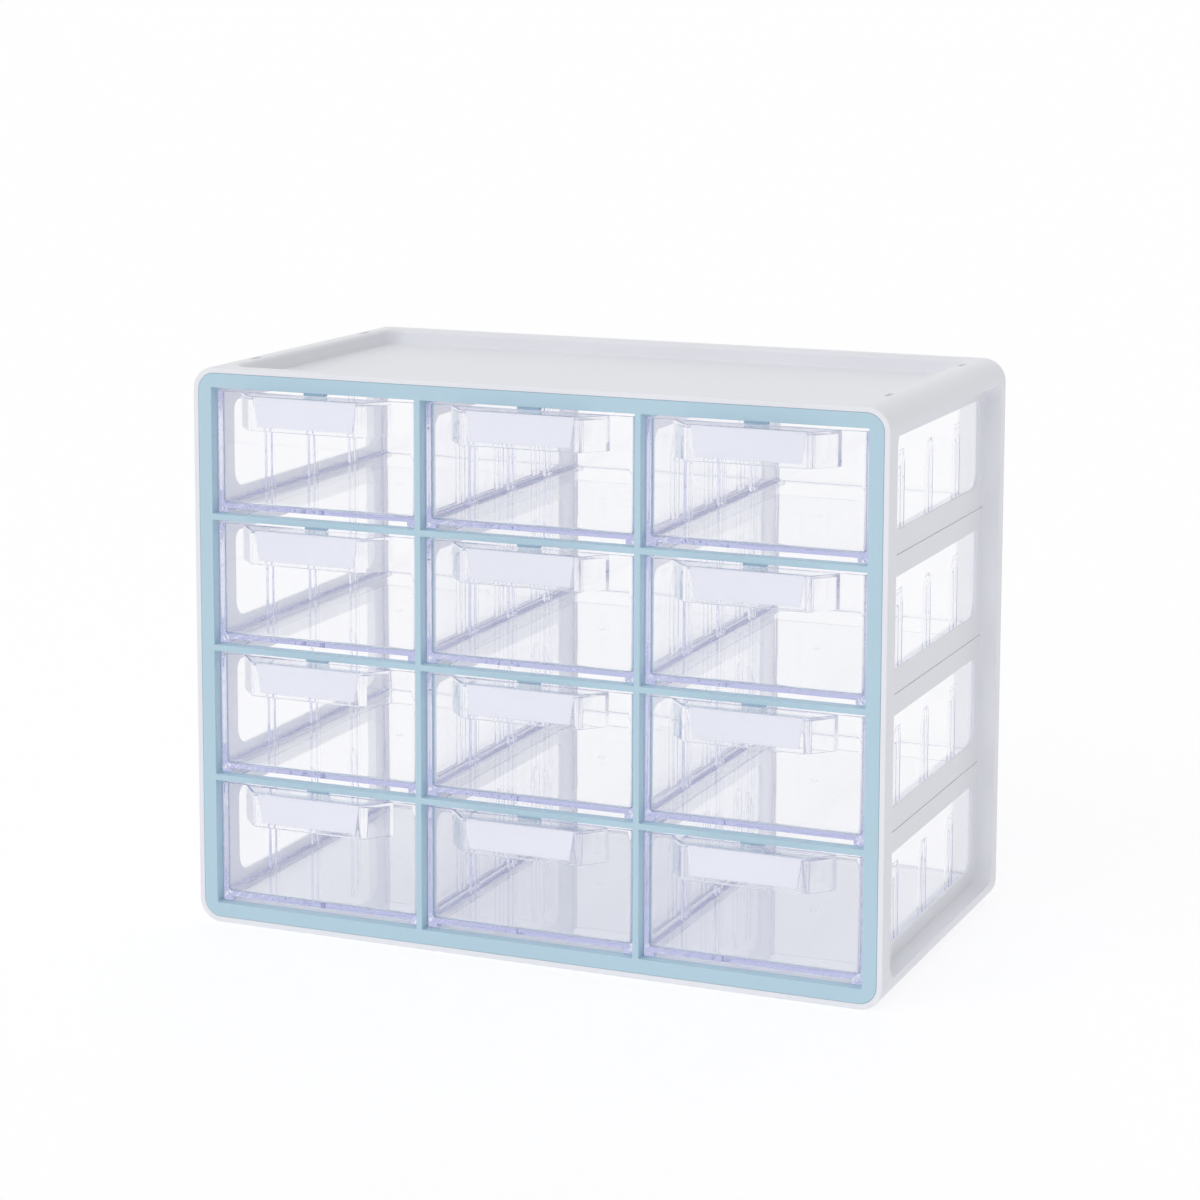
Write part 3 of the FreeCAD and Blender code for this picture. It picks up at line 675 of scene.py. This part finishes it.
@dataclass
class CabinetShell:
    """White shell: a tube with a tray above and below and recessed, windowed sides."""

    grid: Grid
    half_width: float = 184.0
    height: float = 288.0
    back: float = 102.0
    radius: float = 12.0
    front_round: float = 0.8
    rebate_half_width: float = 181.0
    rebate_low: float = 3.0
    rebate_radius: float = 9.0
    tray_half_width: float = 166.0
    tray_depths: Pair = (-85.0, 94.0)
    tray_floor: float = 279.8
    tray_radius: float = 10.0
    tray_round: float = 2.5
    recess_depths: Pair = (-82.0, 94.0)
    recess_heights: Pair = (12.0, 276.0)
    recess_radius: float = 8.0
    panel_face: float = 175.3
    window_depths: Pair = (-71.6, 84.0)
    window_middle: float = 43.1
    window_height: float = 44.9
    window_radii: tuple[float, ...] = (9.0, 9.0, 5.0, 5.0)
    seam_width: float = 0.8
    seam_depth: float = 0.6
    seam_end: float = 2.4
    pit_radius: float = 0.7
    ledge_depths: Pair = (-85.0, 92.0)
    ledge_reach: float = 3.2
    ledge_root: float = 0.5
    ledge_thickness: float = 1.6
    ring_wall: float = 2.4
    ring_depth: float = 5.6
    groove_half_width: float = 1.3
    groove_depth: float = 0.8
    groove_lap: float = 0.001
    dimple: Triple = (3.0, 11.0, 0.8)
    dimple_radius: float = 1.44
    dimple_side: float = 170.2
    dimple_places: Pair = (-53.0, 69.0)
    edge: float = 0.45

    def dress(self, finish: bpy.types.Material) -> None:
        """Build the shell and let it stand for its node."""
        stand_for(self.build(), "cabinet_shell", "cabinet", finish)

    def build(self) -> bpy.types.Object:
        """Mould the shell.

        Returns:
            The finished piece.
        """
        grid = self.grid
        solid = Solid.prism(
            rectangle(-self.half_width, self.half_width, 0.0, self.height),
            Axis.Y, grid.face, self.back, (self.radius,), segments=20,
        )
        solid.round_edges(
            lambda edge: on_plane(edge, Axis.Y, grid.face), self.front_round, segments=4
        )
        cavity = Solid.box(
            (-grid.half_width, grid.half_width),
            (grid.face - OVERRUN, self.back + OVERRUN),
            (grid.low, grid.top),
        )
        solid.cut(cavity)
        rebate_side, rebate_top = self.rebate_half_width, self.height - self.rebate_low
        rebate = Solid.prism(
            rectangle(-rebate_side, rebate_side, self.rebate_low, rebate_top),
            Axis.Y, grid.face - OVERRUN, grid.back, (self.rebate_radius,), segments=16,
        )
        solid.cut(rebate)
        self.cut_trays(solid)
        self.cut_sides(solid)
        self.cut_back(solid)
        self.add_ledges(solid)
        solid.soften(self.edge, segments=3)
        # Softening would swallow marks as fine as these, so they come after it.
        self.cut_marks(solid)
        return solid.piece("white_shell")

    def cut_trays(self, solid: Solid) -> None:
        """Sink the tray and its twin below and round the tray's edge.

        Args:
            solid: The shell so far.
        """
        outline = rectangle(-self.tray_half_width, self.tray_half_width, *self.tray_depths)
        for low, high in (
            (self.tray_floor, self.height + OVERRUN),
            (-OVERRUN, self.height - self.tray_floor),
        ):
            solid.cut(Solid.prism(outline, Axis.Z, low, high, (self.tray_radius,), segments=12))
        solid.round_edges(
            lambda edge: on_plane(edge, Axis.Z, self.height)
            and within(edge, Axis.X, -self.tray_half_width, self.tray_half_width)
            and within(edge, Axis.Y, *self.tray_depths),
            self.tray_round,
            segments=6,
        )

    def cut_sides(self, solid: Solid) -> None:
        """Recess both sides and open their windows.

        Args:
            solid: The shell so far.
        """
        outside = self.half_width + OVERRUN
        recess = Solid.prism(
            rectangle(*self.recess_depths, *self.recess_heights),
            Axis.X, self.panel_face, outside, (self.recess_radius,), segments=12,
        )
        solid.cut(recess.mirrored())
        low = self.window_middle - self.window_height / 2
        window = Solid.prism(
            rectangle(*self.window_depths, low, low + self.window_height),
            Axis.X, -outside, outside, self.window_radii, segments=12,
        )
        solid.cut(window.copies(self.grid.rows_up(ROWS)))

    def cut_marks(self, solid: Solid) -> None:
        """Press the stacking dimples and groove the bars between the side windows.

        Args:
            solid: The shell so far.
        """
        width, length, depth = self.dimple
        dimple = Solid.prism(
            rectangle(-width / 2, width / 2, -length / 2, length / 2),
            Axis.Z, self.height - depth, self.height + OVERRUN, (self.dimple_radius,), segments=6,
        )
        sides = (-self.dimple_side, self.dimple_side)
        solid.cut(dimple.copies([(x, y, 0.0) for x in sides for y in self.dimple_places]))
        middle = self.grid.low + self.grid.row_pitch - self.grid.bar / 2
        end = self.recess_depths[1] - self.seam_end
        bottom, outside = self.panel_face - self.seam_depth, self.panel_face + OVERRUN
        seam = Solid.box(
            (bottom, outside),
            (self.recess_depths[0] + self.edge, end),
            (middle - self.seam_width / 2, middle + self.seam_width / 2),
        )
        steps = self.grid.rows_up(ROWS - 1)
        solid.cut(seam.copies(steps).mirrored())
        half = self.pit_radius
        pit = Solid.prism(
            rectangle(end - half, end + half, middle - half, middle + half),
            Axis.X, bottom, outside, (DISC * half,), segments=6,
        )
        solid.cut(pit.copies(steps).mirrored())

    def cut_back(self, solid: Solid) -> None:
        """Hollow the thick rear edge and groove the decks for the dividers.

        Args:
            solid: The shell so far.
        """
        grid, wall = self.grid, self.ring_wall
        start = self.back - self.ring_depth
        outer_side, inner_side = self.half_width - wall, grid.half_width + wall
        outer = Solid.prism(
            rectangle(-outer_side, outer_side, wall, self.height - wall),
            Axis.Y, start, self.back + OVERRUN, (self.radius - wall,), segments=12,
        )
        inner = Solid.prism(
            rectangle(-inner_side, inner_side, grid.low - wall, grid.top + wall),
            Axis.Y, start - OVERRUN, self.back + 2 * OVERRUN, (wall,), segments=6,
        )
        solid.cut(outer.cut(inner))
        groove = Solid.box(
            (-self.groove_half_width, self.groove_half_width),
            (grid.back - self.groove_lap, self.back + OVERRUN),
            (grid.low - self.groove_depth, grid.top + self.groove_depth),
        )
        solid.cut(groove.copies([(grid.gap(gap), 0.0, 0.0) for gap in range(1, COLUMNS)]))

    def add_ledges(self, solid: Solid) -> None:
        """Run a ledge for each raised row along both sides.

        Args:
            solid: The shell so far.
        """
        grid = self.grid
        ledge = Solid.box(
            (grid.half_width - self.ledge_reach, grid.half_width + self.ledge_root),
            self.ledge_depths,
            (grid.floor(ROWS - 1) - self.ledge_thickness, grid.floor(ROWS - 1)),
        )
        solid.join(ledge.copies(grid.rows_up(ROWS - 1)).mirrored())


@dataclass
class FrontFrame:
    """Blue front frame: a grid of openings with stop tabs, and a flange behind each upright."""

    grid: Grid
    fit: float = 0.06
    half_width: float = 181.0
    heights: Pair = (3.0, 285.0)
    radius: float = 9.0
    front_round: float = 0.45
    tab_width: float = 12.0
    tab_drop: float = 1.9
    tab_depth: float = 3.2
    flange_depth: float = 8.6
    flange_fit: float = 0.15
    flange_step: float = 0.04
    edge: float = 0.35

    def dress(self, finish: bpy.types.Material) -> None:
        """Build the frame and let it stand for its node."""
        stand_for(self.build(), "front_bezel", "cabinet", finish)

    def build(self) -> bpy.types.Object:
        """Mould the frame.

        Returns:
            The finished piece.
        """
        grid = self.grid
        half = self.half_width - self.fit
        solid = Solid.prism(
            rectangle(-half, half, self.heights[0] + self.fit, self.heights[1] - self.fit),
            Axis.Y, grid.face, grid.back, (self.radius - self.fit,), segments=16,
        )
        solid.round_edges(
            lambda edge: on_plane(edge, Axis.Y, grid.face), self.front_round, segments=4
        )
        opening = Solid.box(
            (-grid.opening_width / 2, grid.opening_width / 2),
            (grid.face - OVERRUN, grid.back + OVERRUN),
            (0.0, grid.opening_height),
        )
        places = [(grid.centre(column), 0.0, grid.floor(row)) for row, column in grid.cells()]
        solid.cut(opening.copies(places))
        tab = Solid.box(
            (-self.tab_width / 2, self.tab_width / 2),
            (grid.back - self.tab_depth, grid.back),
            (grid.opening_height - self.tab_drop, grid.opening_height + grid.bar / 2),
        )
        solid.join(tab.copies(places))
        solid.soften(self.edge, segments=2)
        # A flange is a closed lump that starts inside its bar and is a hair narrower.
        flange = Solid.box(
            (-grid.bar / 2 + self.flange_step, grid.bar / 2 - self.flange_step),
            (grid.back - OVERRUN, grid.back + self.flange_depth),
            (grid.low + self.flange_fit, grid.top - self.flange_fit),
        ).soften(self.edge, segments=2)
        for gap in range(1, COLUMNS):
            solid.add_lump(flange, (grid.gap(gap), 0.0, 0.0))
        return solid.piece("blue_front_frame")


@dataclass
class Divider:
    """White divider between two columns, with a window and ledges for each drawer."""

    grid: Grid
    gap: int
    half_thickness: float = 1.2
    depths: Pair = (-78.9, 100.0)
    heights: Pair = (9.7, 278.3)
    window_depths: Pair = (-77.0, 80.0)
    rail: float = 4.7
    beam: float = 10.0
    window_radius: float = 6.0
    ledge_half_width: float = 4.8
    ledge_depths: Pair = (-78.9, 92.0)
    ledge_thickness: float = 1.6
    edge: float = 0.3

    def dress(self, finish: bpy.types.Material) -> None:
        """Build the divider and let it stand for its node."""
        stand_for(self.build(), f"divider_{self.gap}", "cabinet", finish)

    def build(self) -> bpy.types.Object:
        """Mould the divider.

        Returns:
            The finished piece.
        """
        grid = self.grid
        face = self.half_thickness
        outside = face + OVERRUN
        solid = Solid.prism(rectangle(*self.depths, *self.heights), Axis.X, -face, face)
        window = Solid.prism(
            rectangle(*self.window_depths, self.rail, grid.opening_height - self.beam),
            Axis.X, -outside, outside, (self.window_radius,), segments=10,
        )
        solid.cut(window.copies([(0.0, 0.0, grid.floor(row)) for row in range(1, ROWS + 1)]))
        ledge = Solid.box(
            (-self.ledge_half_width, self.ledge_half_width),
            self.ledge_depths,
            (-self.ledge_thickness, 0.0),
        )
        solid.join(ledge.copies([(0.0, 0.0, grid.floor(row)) for row in range(1, ROWS)]))
        solid.soften(self.edge, segments=2)
        return solid.copies([(grid.gap(self.gap), 0.0, 0.0)]).piece(f"white_divider_{self.gap}")


@dataclass
class ClearDrawer:
    """Clear drawer: a tub on two runners, with ribs, a stop nib and a hooded handle."""

    half_width: float = 56.0
    front: float = -89.2
    back: float = 95.8
    height: float = 61.9
    wall: float = 1.8
    outer_radius: float = 0.9
    inner_radius: float = 2.2
    floor_radius: float = 1.9
    runner_height: float = 2.2
    floor_top: float = 4.2
    runner_width: float = 5.6
    rib_width: float = 3.4
    rib_slot: float = 2.6
    rib_proud: float = 1.45
    rib_root: float = 0.5
    web_proud: float = 0.4
    web_root: float = 0.4
    web_lap: float = 0.3
    rib_places: tuple[float, ...] = (50.5, 97.1, 143.7)
    rib_top: float = 46.9
    rib_shoulder: float = 37.9
    nib_half_width: float = 7.0
    nib_height: float = 1.8
    handle_base: float = 42.0
    handle_nose: float = 30.8
    handle_front: float = -102.0
    handle_low: float = 44.6
    nose_radius: float = 1.8
    handle_side: float = 2.0
    handle_top: float = 1.8
    hood_radius: float = 0.8
    plate_back: float = -98.8
    slot_depths: Pair = (-100.8, -100.0)
    slot_half_widths: Pair = (26.9, 29.1)
    slot_low: float = 46.5
    gate_place: float = 2.5
    gate_radius: float = 1.8
    gate_drop: float = 0.5
    gate_root: float = 0.3
    edge: float = 0.28

    def build(self) -> bpy.types.Object:
        """Mould one drawer at its own zero: the middle of its width, at its runners.

        Returns:
            The finished piece.
        """
        solid = self.body()
        solid.join(self.ribs())
        nib = Solid.box(
            (-self.nib_half_width, self.nib_half_width),
            (self.back - self.wall, self.back),
            (self.height - OVERRUN, self.height + self.nib_height),
        )
        solid.join(nib)
        solid.cut(self.slot())
        solid.join(self.gate_mark())
        solid.merge_flat().soften(self.edge, segments=2, inner=False)
        return solid.piece("clear_drawer")

    def body(self) -> Solid:
        """Form the tub, its runners and the hood in front of it, which is open below.

        Returns:
            The body, with sharp edges.
        """
        outline = [
            (-self.half_width, self.front),
            (-self.handle_base, self.front),
            (-self.handle_nose, self.handle_front),
            (self.handle_nose, self.handle_front),
            (self.handle_base, self.front),
            (self.half_width, self.front),
            (self.half_width, self.back),
            (-self.half_width, self.back),
        ]
        corner, nose = self.outer_radius, self.nose_radius
        radii = (corner, 0.0, nose, nose, 0.0, corner, corner, corner)
        # Tub and hood share one outline, so that their tops are one face.
        solid = Solid.prism(outline, Axis.Z, 0.0, self.height, radii, segments=8)
        below_hood = Solid.box(
            (-self.handle_base, self.handle_base),
            (self.handle_front - OVERRUN, self.front),
            (-OVERRUN, self.handle_low),
        )
        solid.cut(below_hood)
        solid.cut(self.hood_hollow())
        inside = rectangle(
            -self.half_width + self.wall, self.half_width - self.wall,
            self.front + self.wall, self.back - self.wall,
        )
        hollow = Solid.prism(
            inside, Axis.Z, self.floor_top, self.height + OVERRUN, (self.inner_radius,), segments=5
        )
        hollow.round_edges(
            lambda edge: on_plane(edge, Axis.Z, self.floor_top), self.floor_radius, segments=4
        )
        solid.cut(hollow)
        side = self.half_width - self.runner_width
        channel = Solid.box(
            (-side, side), (self.front - OVERRUN, self.back + OVERRUN), (-OVERRUN, self.runner_height)
        )
        return solid.cut(channel)

    def hood_hollow(self) -> Solid:
        """Give the space under the hood, where the fingers go.

        Returns:
            The space, to be cut away.
        """
        slope = (self.handle_base - self.handle_nose) / (self.front - self.handle_front)
        base = self.handle_base - self.handle_side
        nose = base - slope * (self.front - self.plate_back)
        outline = [
            (-nose, self.plate_back),
            (nose, self.plate_back),
            (base, self.front),
            (-base, self.front),
        ]
        low, high = self.handle_low - OVERRUN, self.height - self.handle_top
        radii = (self.hood_radius, self.hood_radius, 0.0, 0.0)
        return Solid.prism(outline, Axis.Z, low, high, radii, segments=4)

    def rib_outline(self, proud: float, shoulder: float, root: float) -> Outline:
        """Draw a rib across: upright, sloping back to the wall at its top.

        Args:
            proud: How far it stands out from the wall.
            shoulder: Height at which the slope starts.
            root: How far it reaches into the wall and the floor.

        Returns:
            Its corners.
        """
        wall = self.half_width - self.wall
        return [
            (wall + root, self.floor_top - root),
            (wall + root, self.rib_top),
            (wall, self.rib_top),
            (wall - proud, shoulder),
            (wall - proud, self.floor_top - root),
        ]

    def ribs(self) -> Solid:
        """Raise three pairs of ribs, each with a web between them, on each side wall.

        Returns:
            The ribs of both walls.
        """
        outline = self.rib_outline(self.rib_proud, self.rib_shoulder, self.rib_root)
        rib = Solid.prism(outline, Axis.Y, 0.0, self.rib_width)
        starts = []
        for middle in self.rib_places:
            starts.append(self.front + middle - self.rib_slot / 2 - self.rib_width)
            starts.append(self.front + middle + self.rib_slot / 2)
        pairs = rib.copies([(0.0, start, 0.0) for start in starts])
        fall = self.web_proud * (self.rib_top - self.rib_shoulder) / self.rib_proud
        outline = self.rib_outline(self.web_proud, self.rib_top - fall, self.web_root)
        reach = self.rib_slot / 2 + self.web_lap
        web = Solid.prism(outline, Axis.Y, -reach, reach)
        pairs.join(web.copies([(0.0, self.front + middle, 0.0) for middle in self.rib_places]))
        return pairs.mirrored()

    def slot(self) -> Solid:
        """Give the slot that takes the label card, open above.

        Returns:
            The slot, to be cut away.
        """
        low, high = self.slot_half_widths
        above = self.height + OVERRUN
        outline = [(-low, self.slot_low), (low, self.slot_low), (high, above), (-high, above)]
        return Solid.prism(outline, Axis.Y, *self.slot_depths)

    def gate_mark(self) -> Solid:
        """Give the mark that the mould's gate leaves under the floor.

        Returns:
            A small disc.
        """
        size = self.gate_radius
        low, high = self.runner_height - self.gate_drop, self.runner_height + self.gate_root
        return Solid.prism(
            rectangle(-size, size, self.gate_place - size, self.gate_place + size),
            Axis.Z, low, high, (DISC * size,), segments=8,
        )


@dataclass
class LabelCard:
    """Plain card that slips into a handle's slot."""

    depths: Pair = (-100.6, -100.2)
    half_widths: Pair = (26.5, 28.7)
    heights: Pair = (46.8, 61.6)
    edge: float = 0.08

    def build(self) -> bpy.types.Object:
        """Cut one card at its drawer's own zero.

        Returns:
            The finished piece.
        """
        (low, high), (bottom, top) = self.half_widths, self.heights
        outline = [(-low, bottom), (low, bottom), (high, top), (-high, top)]
        solid = Solid.prism(outline, Axis.Y, *self.depths)
        return solid.soften(self.edge, segments=1).piece("label_card")


@dataclass
class DrawerUnits:
    """The drawer units: one drawer and one card, copied to every opening of the grid."""

    grid: Grid
    lift: float = 0.3

    def dress(self, clear: bpy.types.Material, card: bpy.types.Material) -> None:
        """Build the units and let each piece stand for its node.

        Args:
            clear: Finish of the drawers.
            card: Finish of the label cards.
        """
        drawer = ClearDrawer().build()
        label = LabelCard().build()
        for row, column in self.grid.cells():
            key = f"{row}_{column}"
            body = f"drawer_unit_{key}"
            place = (self.grid.centre(column), 0.0, self.grid.floor(row) + self.lift)
            tub = placed_copy(drawer, f"clear_drawer_{key}", place)
            stand_for(tub, f"drawer_{key}", body, clear)
            tag = placed_copy(label, f"label_card_{key}", place)
            stand_for(tag, f"label_{key}", body, card)
        for spare in (drawer, label):
            mesh = spare.data
            bpy.data.objects.remove(spare)
            bpy.data.meshes.remove(mesh)


# ---------------------------------------------------------------- studio


@dataclass(frozen=True)
class Lamp:
    """A broad, soft lamp that fills part of the sky.

    Attributes:
        name: Name of the lamp.
        side: Direction in which it stands, seen from the cabinet.
        strength: Its light, in watts per square metre.
        spread: How wide it looks from the cabinet, in degrees.
    """

    name: str
    side: Triple
    strength: float
    spread: float = 60.0

    def build(self) -> None:
        """Hang the lamp; it lights surfaces, and nothing mirrors it or shows it through glass."""
        lamp = bpy.data.lights.new(self.name, "SUN")
        lamp.energy = self.strength
        lamp.angle = math.radians(self.spread)
        holder = bpy.data.objects.new(self.name, lamp)
        holder.visible_glossy = False
        holder.visible_transmission = False
        holder.rotation_euler = Vector(self.side).to_track_quat("Z", "Y").to_euler()
        bpy.context.scene.collection.objects.link(holder)


@dataclass
class Studio:
    """Pale floor, soft light, white surroundings and the camera, in metres.

    The floor has one colour and glow for the light that it throws on the cabinet, and a second
    colour and lift for rays that see it, which turn it white and keep the shadow. The sky's
    strength runs from its low value at the horizon to its high value overhead.
    """

    floor_radius: float = 60.0
    floor_roughness: float = 0.9
    floor_colour: Colour = (0.74, 0.74, 0.76)
    floor_seen_colour: Colour = (0.30, 0.30, 0.31)
    floor_glow: float = 0.34
    floor_lift: float = 0.75
    sky_low: float = 0.34
    sky_high: float = 0.80
    lamps: tuple[Lamp, ...] = (
        Lamp("light_front", (-0.30, -1.0, 0.62), 0.78),
        Lamp("light_behind", (-0.30, 1.0, 0.25), 0.50),
    )
    bounces: int = 160
    clear_bounces: int = 64
    lens: float = 93.194
    sensor: float = 36.0
    camera_place: Triple = (0.60938, -1.44576, 0.48743)
    camera_turn: tuple[Triple, ...] = (
        (0.9214864, 0.38839836, 0.00308788),
        (-0.05322268, 0.11838931, 0.99153987),
        (0.38474689, -0.91385485, 0.12976574),
    )
    shift: Pair = (-0.0021, -0.1877)

    def build(self) -> None:
        """Set up the whole studio."""
        self.floor()
        self.sky()
        for lamp in self.lamps:
            lamp.build()
        self.camera()
        self.light_paths()
        bpy.context.scene.view_settings.view_transform = "Standard"

    def light_paths(self) -> None:
        """Let light pass through many clear walls, and pass them unfrosted."""
        cycles = bpy.context.scene.cycles
        cycles.max_bounces = self.bounces
        cycles.glossy_bounces = self.bounces
        cycles.transmission_bounces = self.bounces
        cycles.transparent_max_bounces = self.clear_bounces
        cycles.blur_glossy = 0.0

    def seen_ray(self, wiring: Wiring) -> bpy.types.NodeSocket:
        """Tell the rays that see the background, straight or by way of glass or gloss.

        Args:
            wiring: The tree to add the nodes to.

        Returns:
            A socket that is 1 for such rays.
        """
        path = wiring.add("LightPath")
        direct = wiring.add("Math", operation="MAXIMUM")
        seen = wiring.add("Math", operation="MAXIMUM")
        wiring.join(path.outputs["Is Camera Ray"], direct.inputs[0])
        wiring.join(path.outputs["Is Glossy Ray"], direct.inputs[1])
        wiring.join(direct.outputs[0], seen.inputs[0])
        wiring.join(path.outputs["Is Transmission Ray"], seen.inputs[1])
        return seen.outputs[0]

    def floor(self) -> None:
        """Lay the floor under the cabinet."""
        mesh = bpy.data.meshes.new("studio_floor")
        work = bmesh.new()
        bmesh.ops.create_circle(work, cap_ends=True, segments=96, radius=self.floor_radius)
        work.to_mesh(mesh)
        work.free()
        floor = bpy.data.objects.new("studio_floor", mesh)
        bpy.context.scene.collection.objects.link(floor)
        material = bpy.data.materials.new("studio_floor")
        material.use_nodes = True
        wiring = Wiring(material.node_tree)
        shader = wiring.add("BsdfPrincipled")
        shader.inputs["Roughness"].default_value = self.floor_roughness
        shader.inputs["Specular IOR Level"].default_value = 0.0
        shader.inputs["Emission Color"].default_value = (1.0, 1.0, 1.0, 1.0)
        seen = self.seen_ray(wiring)
        colour = wiring.add("Mix", data_type="RGBA")
        colour.inputs[MIX_LOW].default_value = (*self.floor_colour, 1.0)
        colour.inputs[MIX_HIGH].default_value = (*self.floor_seen_colour, 1.0)
        lift = wiring.add("MapRange", To_Min=self.floor_glow, To_Max=self.floor_lift)
        output = wiring.add("OutputMaterial")
        wiring.join(seen, colour.inputs[0])
        wiring.join(colour.outputs[MIX_RESULT], shader.inputs["Base Color"])
        wiring.join(seen, lift.inputs["Value"])
        wiring.join(lift.outputs["Result"], shader.inputs["Emission Strength"])
        wiring.join(shader.outputs[0], output.inputs["Surface"])
        mesh.materials.append(material)

    def sky(self) -> None:
        """Surround the cabinet with white; the light that it casts fades to the horizon."""
        world = bpy.data.worlds.new("studio_sky")
        bpy.context.scene.world = world
        world.use_nodes = True
        wiring = Wiring(world.node_tree)
        place = wiring.add("TexCoord")
        split = wiring.add("SeparateXYZ")
        cast = wiring.add("MapRange", To_Min=self.sky_low, To_Max=self.sky_high)
        strength = wiring.add("MapRange", To_Max=1.0)
        background = wiring.add("Background")
        background.inputs["Color"].default_value = (1.0, 1.0, 1.0, 1.0)
        output = wiring.add("OutputWorld")
        wiring.join(place.outputs["Generated"], split.inputs[0])
        wiring.join(split.outputs["Z"], cast.inputs["Value"])
        wiring.join(cast.outputs["Result"], strength.inputs["To Min"])
        wiring.join(self.seen_ray(wiring), strength.inputs["Value"])
        wiring.join(strength.outputs["Result"], background.inputs["Strength"])
        wiring.join(background.outputs[0], output.inputs["Surface"])

    def camera(self) -> None:
        """Place the camera and give it the view's lens and shift."""
        data = bpy.data.cameras.new("studio_camera")
        data.lens = self.lens
        data.sensor_width = self.sensor
        data.shift_x, data.shift_y = self.shift
        camera = bpy.data.objects.new("studio_camera", data)
        turn = Matrix(self.camera_turn).transposed().to_4x4()
        camera.matrix_world = Matrix.Translation(self.camera_place) @ turn
        bpy.context.scene.collection.objects.link(camera)
        bpy.context.scene.camera = camera


def main() -> None:
    """Build the studio and every piece of the cabinet."""
    logging.basicConfig(level=logging.INFO, format="%(message)s")
    Studio().build()
    grid = Grid()
    white = OpaqueMoulding("white_moulding", colour=(0.845, 0.853, 0.895), roughness=0.36).build()
    blue = OpaqueMoulding("blue_moulding", colour=(0.485, 0.66, 0.765), mottle=0.01).build()
    clear = ClearMoulding(
        "clear_moulding", tint=(0.984, 0.985, 0.99), depth_tint=(0.56, 0.59, 0.84), depth_density=7.5
    ).build()
    card = OpaqueMoulding("label_card", colour=(0.735, 0.745, 0.815), roughness=0.7).build()
    CabinetShell(grid).dress(white)
    FrontFrame(grid).dress(blue)
    for gap in range(1, COLUMNS):
        Divider(grid, gap).dress(white)
    DrawerUnits(grid).dress(clear, card)


if __name__ == "__main__":
    main()
